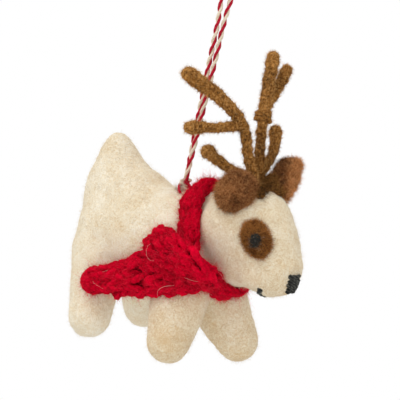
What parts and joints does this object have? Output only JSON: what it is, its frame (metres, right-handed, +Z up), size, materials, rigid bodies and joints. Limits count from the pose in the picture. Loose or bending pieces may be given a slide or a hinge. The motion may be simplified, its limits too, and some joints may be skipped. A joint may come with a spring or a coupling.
{
  "type": "felt christmas ornament",
  "caption": "Needle-felted white dog with wool-wrapped wire antlers and a knitted red scarf, hung on a loop of twine as a tree ornament.",
  "frame": {"origin": "top of the hanging loop, at the middle of the twine's bend, where a hook or twig carries the ornament", "axes": "+Z up along the hanging loop, +X towards the dog's nose, +Y towards the dog's left side"},
  "size_m": [0.1094, 0.0586, 0.1583],
  "materials": {
    "white_wool": "matte, fuzzy needle-felted wool",
    "brown_wool": "matte, fuzzy needle-felted wool",
    "patch_wool": "matte needle-felted wool",
    "black_wool": "matte, felted hard",
    "black_yarn": "matte wool yarn",
    "antler_wool": "matte wool wound on wire",
    "steel_wire": "drawn",
    "red_yarn": "matte, fuzzy knitted wool yarn",
    "twine": "red and white cotton twine, matte"
  },
  "bodies": {
    "hanging_loop": {"hanging_loop": "twine"},
    "twine_knot": {"twine_knot": "twine"},
    "dog": {"torso": "white_wool", "tail": "white_wool", "front_right_leg": "white_wool", "front_left_leg": "white_wool", "rear_right_leg": "white_wool", "rear_left_leg": "white_wool", "head": "white_wool", "right_ear": "brown_wool", "left_ear": "brown_wool", "eye_patch": "patch_wool", "right_eye": "black_wool", "left_eye": "black_wool", "nose": "black_yarn", "mouth_stitch": "black_yarn", "right_antler_beam": "antler_wool", "right_antler_fork_tine": "antler_wool", "right_antler_low_tine": "antler_wool", "left_antler_beam": "antler_wool", "left_antler_fork_tine": "antler_wool", "left_antler_low_tine": "antler_wool", "antler_binding": "antler_wool", "right_antler_wire": "steel_wire", "left_antler_wire": "steel_wire", "scarf_wrap": "red_yarn", "anchor_stitch": "twine"},
    "scarf_tail": {"scarf_tail": "red_yarn"}
  },
  "joints": [
    {"name": "loop_twist", "type": "hinge", "parent": "hanging_loop", "child": "twine_knot", "pos_m": [0, 0, -0.09], "axis": [0, 0, 1], "range_deg": [-180, 180]},
    {"name": "dog_swing", "type": "hinge", "parent": "twine_knot", "child": "dog", "pos_m": [0, 0, -0.09], "axis": [0, 1, 0], "range_deg": [-30, 50]},
    {"name": "scarf_tail_lift", "type": "hinge", "parent": "dog", "child": "scarf_tail", "pos_m": [0.01656, -0.0238, -0.11939], "axis": [-0.1045, 0, 0.9945], "range_deg": [0, 50]}
  ]
}
